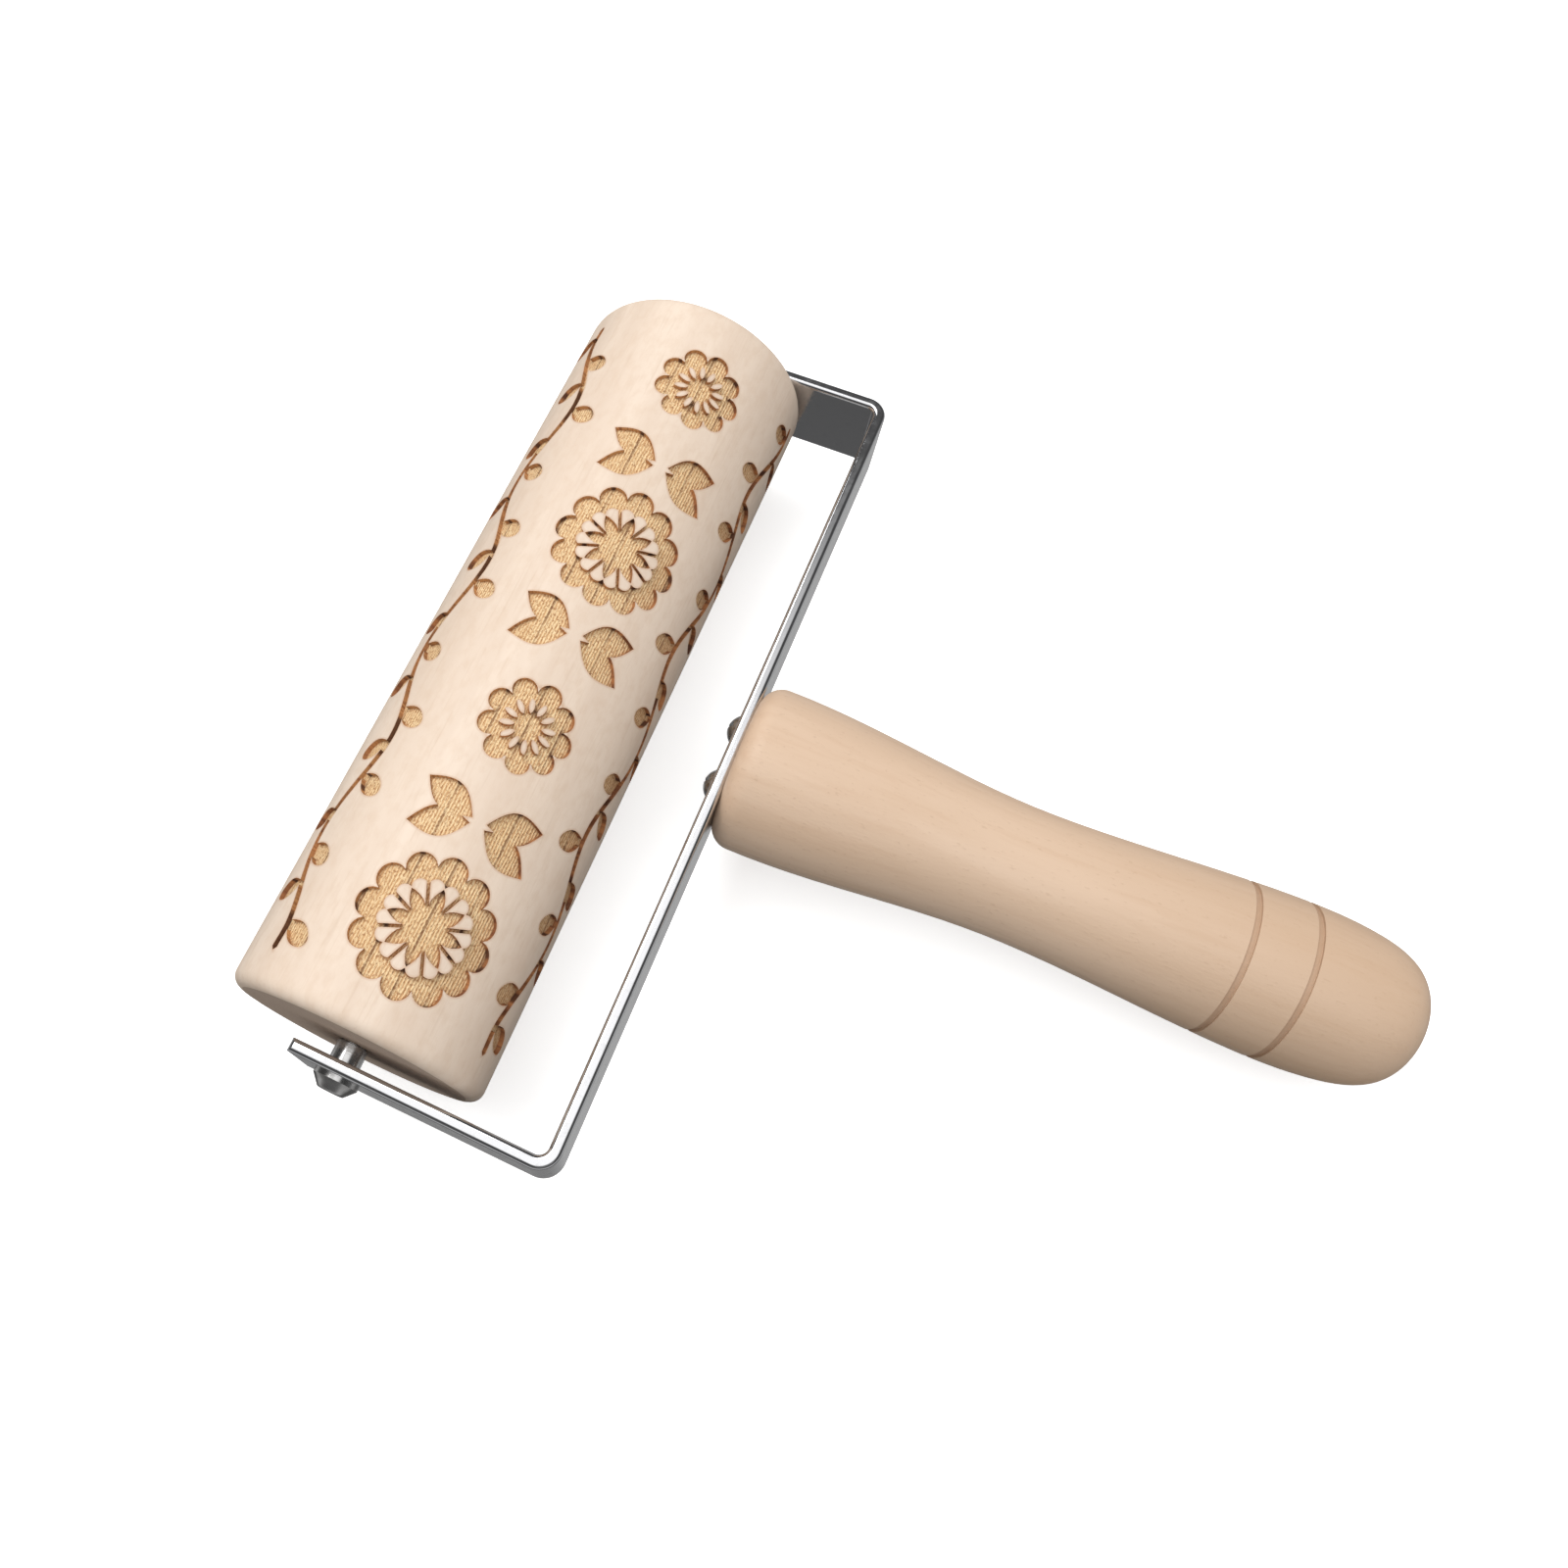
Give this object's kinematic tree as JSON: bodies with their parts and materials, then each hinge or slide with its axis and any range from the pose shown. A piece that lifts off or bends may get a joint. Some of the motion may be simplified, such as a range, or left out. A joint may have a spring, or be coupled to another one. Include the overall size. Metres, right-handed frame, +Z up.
{
  "type": "textured pattern roller",
  "caption": "T-handled pattern roller: a bored, engraved wooden cylinder on an axle between the arms of a U-bent plated strip, screwed to a turned wooden handle.",
  "frame": {"origin": "on the roller axis, midway between the frame's arms and in the mid-plane of its strip", "axes": "+X along the roller axis towards the axle's coned head, +Y from the roller to the handle, +Z up, square to the frame"},
  "size_m": [0.1454, 0.1554, 0.04],
  "materials": {
    "plated_strip": "bright plated",
    "roller_wood": "sanded, unvarnished, engraved",
    "fastener_steel": "polished",
    "handle_wood": "turned and sanded, unvarnished"
  },
  "bodies": {
    "handle_frame": {"frame": "plated_strip", "handle": "handle_wood", "handle_screw_near": "fastener_steel", "handle_screw_far": "fastener_steel", "axle": "fastener_steel", "axle_nut": "fastener_steel", "axle_spacer": "fastener_steel", "axle_washer": "fastener_steel"},
    "roller": {"roller": "roller_wood"}
  },
  "joints": [
    {"name": "roller_spin", "type": "hinge", "parent": "handle_frame", "child": "roller", "pos_m": [0, 0, 0], "axis": [1, 0, 0], "continuous": true}
  ]
}
